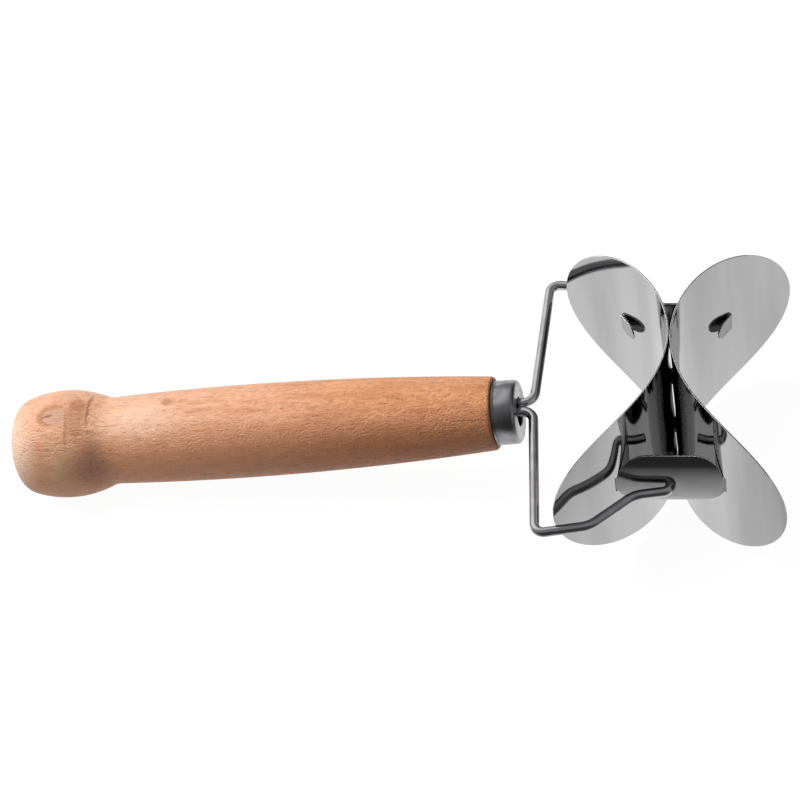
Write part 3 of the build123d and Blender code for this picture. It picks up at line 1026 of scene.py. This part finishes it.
class PressBlades(Operator):
    """Cuts a blade flat with its two slits, presses it to its bow and sets a copy back to back with it"""

    bl_idname = "roller_cutter.press_blades"
    bl_label = "Press blades"

    def execute(self, context):
        settings = context.scene.roller_cutter
        roller = roller_shape()
        blade = cut_blank("front_pressed_blade", self.outline(roller), BLADE_RIM_ROWS, BLADE_GRID_SPAN)
        for side in (1, -1):
            self.cut_slit(roller, side * roller.hub_at)
        bpy.ops.object.mode_set(mode="OBJECT")
        press(blade, self.former(roller), "X")
        self.dimple(blade, roller, settings.roller)
        thicken(blade, settings.roller.blade_sheet)
        break_edges(blade, settings.roller.edge_break)
        smooth(blade, SHEET_SHARP)
        finish = steel_finish("blade")
        rear = copy_piece(blade, "rear_pressed_blade")
        settle(blade, roller_place(), "roller", "front_blade", finish)
        settle(rear, roller_place(half_turn=True), "roller", "rear_blade", finish)
        return {"FINISHED"}

    def outline(self, roller):
        """The blade's outline as seen from the front."""
        points = []
        for step in range(BLADE_STEPS):
            turn = 2 * pi * (step + 0.5) / BLADE_STEPS
            y = roller.reach * sin(turn)
            height = sqrt(roller.radius**2 - roller.blade_at(y) ** 2)
            points.append((0, y, height if cos(turn) > 0 else -height))
        return points

    def cut_slit(self, roller, y):
        """Cuts the slit that a plate's tab goes through."""
        gap, width = roller.half_slit_gap, roller.half_slit_width

        def near(face):
            place = face.calc_center_median()
            return abs(place.y - y) < gap + OVERRUN and abs(place.z) < width + OVERRUN

        def inside(face):
            place = face.calc_center_median()
            return abs(place.y - y) < gap and abs(place.z) < width

        for place, square in (
            ((0, y - gap, 0), (0, 1, 0)),
            ((0, y + gap, 0), (0, 1, 0)),
            ((0, y, -width), (0, 0, 1)),
            ((0, y, width), (0, 0, 1)),
        ):
            select_where("faces", near)
            bpy.ops.mesh.bisect(plane_co=place, plane_no=square)
        select_where("faces", inside)
        bpy.ops.mesh.delete(type="FACE")

    def dimple(self, blade, roller, sizes):
        """Draws the blade in at the welds and the rim, and lets it stand off between them."""
        open_mesh(blade)
        rim = roller.radius - sizes.dimple_spread / 2
        midway = (sizes.weld_at + rim) / 2
        for height, depth in (
            (0, -sizes.stand_off),
            (sizes.weld_at, sizes.dimple),
            (midway, -sizes.stand_off),
            (rim, sizes.dimple),
        ):
            for z in {height, -height}:
                heart = Vector((roller.waist, 0, z))
                bpy.ops.mesh.select_mode(type="VERT")
                bpy.ops.mesh.select_all(action="DESELECT")
                shape = bmesh.from_edit_mesh(blade.data)
                min(shape.verts, key=lambda point: (point.co - heart).length).select_set(True)
                bmesh.update_edit_mesh(blade.data)
                bpy.ops.transform.translate(
                    value=(-depth, 0, 0), use_proportional_edit=True, proportional_edit_falloff="SMOOTH",
                    proportional_size=sizes.dimple_spread,
                )
        bpy.ops.object.mode_set(mode="OBJECT")

    def former(self, roller):
        """The bowed surface that the blade is pressed to, run on straight past the tips."""
        steps = 240
        low = -roller.radius - OVERRUN
        places = [roller.reach * sin(pi / 2 * step / steps) for step in range(-steps + 1, steps)]
        profile = [(roller.blade_at(y), y, low) for y in places]
        tip_slope = (roller.radius - roller.waist) * (pi / 2) ** 2 / roller.reach
        end_x, end_y = roller.radius + tip_slope * OVERRUN, roller.reach + OVERRUN
        profile = [(end_x, -end_y, low), *profile, (end_x, end_y, low)]
        return sweep_former("blade_former", profile, (0, 0, -2 * low))


class FoldEndPlates(Operator):
    """Cuts an end plate, bows it, folds its two tabs, pierces its hub and sets a copy at the other end"""

    bl_idname = "roller_cutter.fold_end_plates"
    bl_label = "Fold end plates"

    def execute(self, context):
        sizes = context.scene.roller_cutter.roller
        roller = roller_shape()
        plate = cut_blank("left_folded_plate", self.outline(roller), PLATE_RIM_ROWS, PLATE_GRID_SPAN)
        bpy.ops.object.mode_set(mode="OBJECT")
        press(plate, self.former(roller), "Y")
        open_mesh(plate)
        for end in (1, -1):
            self.fold_tab(roller, sizes, end)
        close_mesh()
        thicken(plate, sizes.plate_sheet)
        self.seat_edges(plate, roller, sizes)
        break_edges(plate, sizes.tab_round)
        self.pierce_hub(plate, roller, sizes)
        smooth(plate, SHEET_SHARP)
        finish = steel_finish("plate")
        right = copy_piece(plate, "right_folded_plate")
        settle(plate, roller_place(), "roller", "left_end_plate", finish)
        settle(right, roller_place(half_turn=True), "roller", "right_end_plate", finish)
        return {"FINISHED"}

    def outline(self, roller):
        """Straight sides as wide as a tab, round corners and straight top and bottom."""
        corner_x = roller.half_width - roller.corner
        sides, corners, tops = 6, 12, 20
        points = []
        for quarter, (x, z) in enumerate(((1, 1), (-1, 1), (-1, -1), (1, -1))):
            turn = quarter * pi / 2
            points += arc((x * corner_x, z * roller.half_tab), roller.corner, turn, pi / 2, corners)
            steps = tops if quarter % 2 == 0 else sides
            run = -2 * corner_x * x if quarter % 2 == 0 else -2 * roller.half_tab * z
            last_x, last_z = points[-1]
            for step in range(1, steps):
                share = run * step / steps
                points.append((last_x + share, last_z) if quarter % 2 == 0 else (last_x, last_z + share))
        return [(x, 0, z) for x, z in points]

    def former(self, roller):
        """The bowed surface that the plate is pressed to."""
        steps = 120
        half_turn = asin((roller.half_depth + OVERRUN) / roller.bow_radius)
        centre = (roller.hub_at - roller.bow_radius, 0)
        x = -roller.half_width - OVERRUN
        profile = [(x, y, z) for y, z in arc(centre, roller.bow_radius, -half_turn, 2 * half_turn, steps)]
        return sweep_former("plate_former", profile, (-2 * x, 0, 0))

    def fold_tab(self, roller, sizes, end):
        """Draws a tab out of the plate's side, folds it back and rounds its tip."""
        hair = 0.01 * MM

        def on_side(edge):
            return edge.is_boundary and all(
                end * point.co.x > roller.half_width - hair and abs(point.co.z) < roller.half_tab + hair
                for point in edge.verts
            )

        select_where("edges", on_side)
        pull((end * (roller.fold_at - roller.half_width), 0, 0))
        bpy.ops.transform.resize(value=(1, 0, 1), center_override=(0, roller.hub_at, 0))
        fold_centre = (end * roller.fold_at, roller.hub_at - roller.fold_radius, 0)
        bend_spin(-end * roller.fold, fold_centre, (0, 0, 1), FOLD_STEPS)
        along = Vector((end * cos(roller.fold), -sin(roller.fold), 0))
        straight = sizes.tab_length - roller.half_tab
        pull(along * straight)
        steps = 6
        reached, half_width = 0, roller.half_tab
        for step in range(1, steps):
            bend = pi / 2 * step / steps
            pull(along * (roller.half_tab * sin(bend) - reached))
            share = roller.half_tab * cos(bend) / half_width
            bpy.ops.transform.resize(value=(1, 1, share), center_override=(0, 0, 0))
            reached, half_width = roller.half_tab * sin(bend), roller.half_tab * cos(bend)

    def seat_edges(self, plate, roller, sizes):
        """Widens the outer face of the sheet, so that its cut edges lean with the blades they meet."""
        bow_axis = Vector((0, roller.hub_at - roller.bow_radius, 0))

        def outside(point):
            place = point.co - bow_axis
            face = hypot(place.y, place.z) > roller.bow_radius + sizes.plate_sheet / 4
            return face and abs(place.x) < roller.half_width + sizes.plate_sheet / 2

        open_mesh(plate)
        select_where("verts", outside)
        widen = 1 + sizes.edge_lean / roller.half_width
        bpy.ops.transform.resize(value=(widen, 1, 1), center_override=(0, 0, 0))
        bpy.ops.object.mode_set(mode="OBJECT")

    def pierce_hub(self, plate, roller, sizes):
        """Pierces the hole that a wire stub turns in."""
        punch_reach = 2 * sizes.plate_sheet
        punch = start_ring("punch", (-punch_reach, 0, 0), roller.hub_hole, ROUND_SIDES)
        bpy.ops.mesh.edge_face_add()
        pull((2 * punch_reach, 0, 0))
        bpy.ops.mesh.select_all(action="SELECT")
        bpy.ops.transform.rotate(value=pi / 2, orient_axis="Z", center_override=(0, 0, 0))
        bpy.ops.transform.translate(value=(0, roller.hub_at, 0))
        close_mesh()
        cut_with(plate, punch)


class FinishSpotWelds(Operator):
    """Gives the weld spots along the waist their finish"""

    bl_idname = "roller_cutter.finish_spot_welds"
    bl_label = "Finish spot welds"

    def execute(self, context):
        welds = frame["nodes"]["spot_welds"]
        welds.data.materials.clear()
        welds.data.materials.append(steel_finish("weld"))
        return {"FINISHED"}


LAMPS = {
    "key_softbox": {"place": (-0.3, 0.1, 0.42), "size": 0.4, "power": 3.55},
    "fill_softbox": {"place": (0.6, -0.2, 0.5), "size": 0.6, "power": 0.6},
}
LAMP_TARGET = (-50 * MM, 0, 0)
WHITE = (1, 1, 1, 1)
FLOOR_SIZE = 3
# The white that the camera sees, and how much of the lamps' light and shadow lies on it
FLOOR_WHITE = 0.965
FLOOR_SHADOW = (0.1, 0.1, 0.1, 1)
# Painted shade on the floor as polished metal sees it: dimmer on the second bounce, where the floor lies in shade
# between the blades, dimmer forwards, and dark in the roller's own shade
SECOND_DIM = 0.4
FORWARD_SPAN = (-20 * MM, 40 * MM)
FORWARD_DIM = 0.12
UNDER_ROLLER = soft_mark((-1, 17, 0), (6, 20, 50), 0.92, 0.55)
FLOOR_EDGE_SOFTNESS = MM
# The lit side of the ceiling, and where the ceiling gives way to the dim room
GLOW_HEADING = (-0.6, 0.5, 0.62)
GLOW_SPAN = (0.74, 0.97)
CEILING_SPAN = (-0.9, -0.45)
SENSOR_WIDTH = 36
CLIP_START = 10 * MM


def surface(tree, kind, inputs):
    """What a surface shader gives out."""
    return add_node(tree, kind, inputs).outputs[0]


class SetStage(Operator):
    """Sets the floor, the light and the camera"""

    bl_idname = "roller_cutter.set_stage"
    bl_label = "Set stage"

    def execute(self, context):
        context.scene.view_settings.view_transform = "Standard"
        self.lay_floor(context)
        self.light_room(context)
        for name, lamp in LAMPS.items():
            self.hang_lamp(name, lamp)
        self.set_camera(context)
        return {"FINISHED"}

    def lay_floor(self, context):
        """A plain pale floor that stays white to the camera and keeps a faint shadow."""
        bpy.ops.object.select_all(action="DESELECT")
        bpy.ops.mesh.primitive_plane_add(size=FLOOR_SIZE, location=(0, 0, 0))
        floor = context.object
        floor.name = "floor"
        stage = context.scene.roller_cutter.stage
        material, tree, shader = new_material("pale_floor")
        floor.data.materials.append(material)
        tree.nodes.remove(shader)
        ray = add_node(tree, "ShaderNodeLightPath").outputs
        paper = surface(tree, "ShaderNodeBsdfDiffuse", {"Color": stage.floor})
        faint = surface(tree, "ShaderNodeBsdfDiffuse", {"Color": FLOOR_SHADOW})
        glow = surface(tree, "ShaderNodeEmission", {"Strength": FLOOR_WHITE})
        seen = surface(tree, "ShaderNodeAddShader", {0: faint, 1: glow})
        mirrored = surface(tree, "ShaderNodeEmission", {"Color": self.floor_in_metal(tree, ray, stage)})
        unseen = surface(tree, "ShaderNodeMixShader", {0: ray["Is Glossy Ray"], 1: paper, 2: mirrored})
        mixed = surface(tree, "ShaderNodeMixShader", {0: ray["Is Camera Ray"], 1: unseen, 2: seen})
        tree.links.new(mixed, tree.nodes["Material Output"].inputs["Surface"])

    def floor_in_metal(self, tree, ray, stage):
        """The floor as polished metal shows it: white, and dimmer in places up to its front edge."""
        floor_place = own_place(tree)
        place = add_node(tree, "ShaderNodeSeparateXYZ", {"Vector": floor_place}).outputs
        # Painted shade: the mirrored floor is dimmed on the second bounce, forwards and under the roller
        white = WHITE
        for shade in (
            ramp(tree, ray["Ray Depth"], 1, 2, SECOND_DIM),
            ramp(tree, place["X"], *FORWARD_SPAN, FORWARD_DIM),
            mark_mask(tree, floor_place, UNDER_ROLLER),
        ):
            white = blend(tree, shade, white, stage.room)
        front = -stage.floor_front
        lit = ramp(tree, place["Y"], front, -stage.floor_back)
        edge = ramp(tree, place["Y"], front - FLOOR_EDGE_SOFTNESS, front + FLOOR_EDGE_SOFTNESS)
        return blend(tree, edge, stage.room, blend(tree, lit, stage.floor_edge, white))

    def light_room(self, context):
        """A white room to the camera, and a soft grey one to everything else."""
        world = bpy.data.worlds.new("studio")
        context.scene.world = world
        world.use_nodes = True
        tree = world.node_tree
        backdrop = tree.nodes["Background"]
        stage = context.scene.roller_cutter.stage
        ray = add_node(tree, "ShaderNodeLightPath").outputs
        heading = add_node(tree, "ShaderNodeTexCoord").outputs["Generated"]
        facing = vector_math(tree, "DOT_PRODUCT", heading, Vector(GLOW_HEADING).normalized())["Value"]
        backward = add_node(tree, "ShaderNodeSeparateXYZ", {"Vector": heading}).outputs["Y"]
        ceiling = blend(tree, ramp(tree, backward, *CEILING_SPAN), stage.room, stage.ceiling)
        mirrored = blend(tree, ramp(tree, facing, *GLOW_SPAN), ceiling, stage.glow)
        unseen = blend(tree, ray["Is Glossy Ray"], stage.room, mirrored)
        shade = blend(tree, ray["Is Camera Ray"], unseen, WHITE)
        tree.links.new(shade, backdrop.inputs["Color"])

    def hang_lamp(self, name, settings):
        """A square softbox aimed at the tool."""
        bpy.ops.object.light_add(type="AREA", location=settings["place"])
        lamp = bpy.context.object
        lamp.name = name
        lamp.data.size = settings["size"]
        lamp.data.energy = settings["power"]
        lamp.visible_glossy = False
        aim = Vector(LAMP_TARGET) - Vector(settings["place"])
        lamp.rotation_euler = aim.to_track_quat("-Z", "Y").to_euler()

    def set_camera(self, context):
        """The camera at the photograph's angle."""
        stage = context.scene.roller_cutter.stage
        bpy.ops.object.camera_add()
        camera = context.object
        camera.name = "photo_camera"
        camera.data.lens = stage.lens
        camera.data.sensor_width = SENSOR_WIDTH
        camera.data.clip_start = CLIP_START
        sight = Matrix.Rotation(stage.azimuth, 4, "Z") @ Matrix.Rotation(pi / 2 - stage.elevation, 4, "X")
        roll = Matrix.Rotation(stage.roll, 4, "Z")
        camera.matrix_world = Matrix.Translation(stage.camera_place) @ sight @ roll
        context.scene.camera = camera


class RollerCutterPanel(Panel):
    """Sizes, colours and the steps that make the roller cutter"""

    bl_idname = "VIEW3D_PT_roller_cutter"
    bl_label = "Roller cutter"
    bl_space_type = "VIEW_3D"
    bl_region_type = "UI"
    bl_category = "Roller cutter"

    def draw(self, context):
        settings = context.scene.roller_cutter
        for step in STEPS:
            self.layout.operator(step.bl_idname)
        for group in ("roller", "yoke", "grip", "colours", "stage"):
            box = self.layout.box()
            box.label(text=group.title())
            for setting in getattr(settings, group).__annotations__:
                box.prop(getattr(settings, group), setting)


GROUPS = (RollerSizes, YokeSizes, GripSizes, FinishColours, StageSettings, CutterSettings)
STEPS = (SetStage, TurnHandle, DrawFerrule, BendYokeWires, PressBlades, FoldEndPlates, FinishSpotWelds)


def register():
    for kind in (*GROUPS, *STEPS, RollerCutterPanel):
        bpy.utils.register_class(kind)
    bpy.types.Scene.roller_cutter = PointerProperty(type=CutterSettings)


def unregister():
    del bpy.types.Scene.roller_cutter
    for kind in reversed((*GROUPS, *STEPS, RollerCutterPanel)):
        bpy.utils.unregister_class(kind)


def main():
    register()
    bpy.ops.roller_cutter.set_stage()
    bpy.ops.roller_cutter.turn_handle()
    bpy.ops.roller_cutter.draw_ferrule()
    bpy.ops.roller_cutter.bend_yoke_wires()
    bpy.ops.roller_cutter.press_blades()
    bpy.ops.roller_cutter.fold_end_plates()
    bpy.ops.roller_cutter.finish_spot_welds()


if __name__ == "__main__":
    main()
